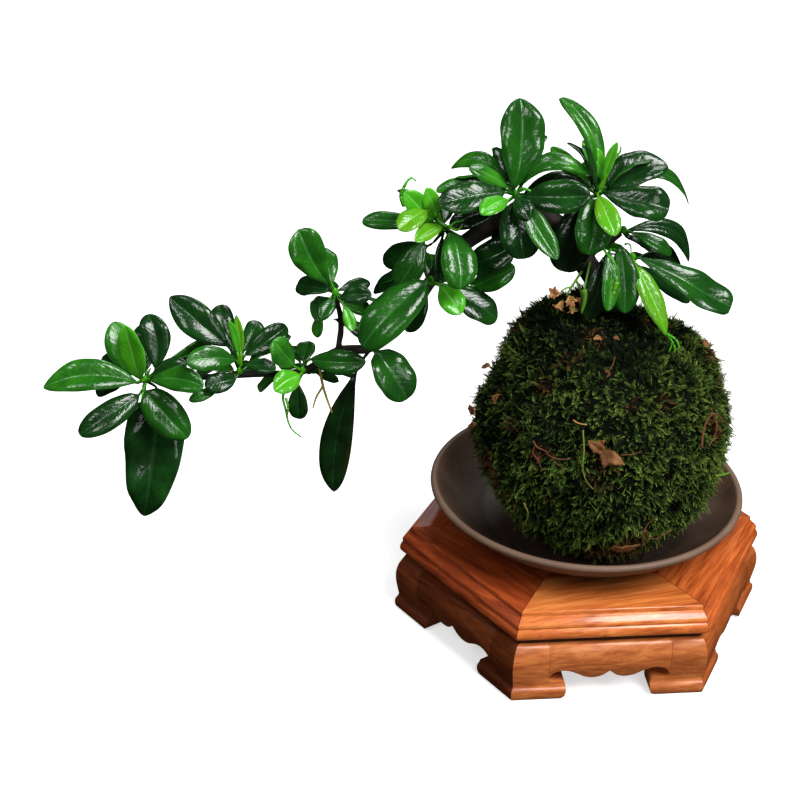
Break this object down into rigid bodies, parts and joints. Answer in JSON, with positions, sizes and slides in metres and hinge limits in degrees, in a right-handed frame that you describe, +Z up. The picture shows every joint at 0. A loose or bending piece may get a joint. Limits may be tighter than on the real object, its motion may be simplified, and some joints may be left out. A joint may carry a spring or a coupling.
{
  "type": "kokedama moss ball plant",
  "caption": "Cascading small-leaved shrub in a round moss ball, standing on a shallow stoneware saucer and a six-sided hardwood stand with bracket feet.",
  "frame": {"origin": "below the middle of the object's box, on the surface that the stand rests on", "axes": "+Z up, +X the way the object is longest, from the hanging branch's tip towards the stand, -Y the side that faces the viewer"},
  "size_m": [0.298, 0.1352, 0.2287],
  "materials": {
    "stand_top_wood": "satin",
    "apron_wood": "satin",
    "waist_wood": "matte",
    "stoneware": "matte",
    "moss": "matte",
    "soil": "matte",
    "bark": "matte",
    "leaf": "gloss",
    "dry_stalk": "matte"
  },
  "bodies": {
    "root": {"top_rail_1": "stand_top_wood", "waist_1": "waist_wood", "apron_1": "apron_wood", "leg_1": "apron_wood", "top_rail_2": "stand_top_wood", "waist_2": "waist_wood", "apron_2": "apron_wood", "leg_2": "apron_wood", "top_rail_3": "stand_top_wood", "waist_3": "waist_wood", "apron_3": "apron_wood", "leg_3": "apron_wood", "top_rail_4": "stand_top_wood", "waist_4": "waist_wood", "apron_4": "apron_wood", "leg_4": "apron_wood", "top_rail_5": "stand_top_wood", "waist_5": "waist_wood", "apron_5": "apron_wood", "leg_5": "apron_wood", "top_rail_6": "stand_top_wood", "waist_6": "waist_wood", "apron_6": "apron_wood", "leg_6": "apron_wood", "top_panel": "stand_top_wood", "saucer": "stoneware", "moss_cover": "moss", "soil_core": "soil", "trunk": "bark", "spray_1": "leaf", "spray_2": "leaf", "spray_3": "leaf", "spray_4": "leaf", "spray_5": "leaf", "spray_6": "leaf", "spray_7": "leaf", "spray_8": "leaf", "spray_9": "leaf", "spray_10": "leaf", "spray_11": "leaf", "flower_stalk": "dry_stalk", "dry_buds": "dry_stalk"}
  },
  "joints": []
}
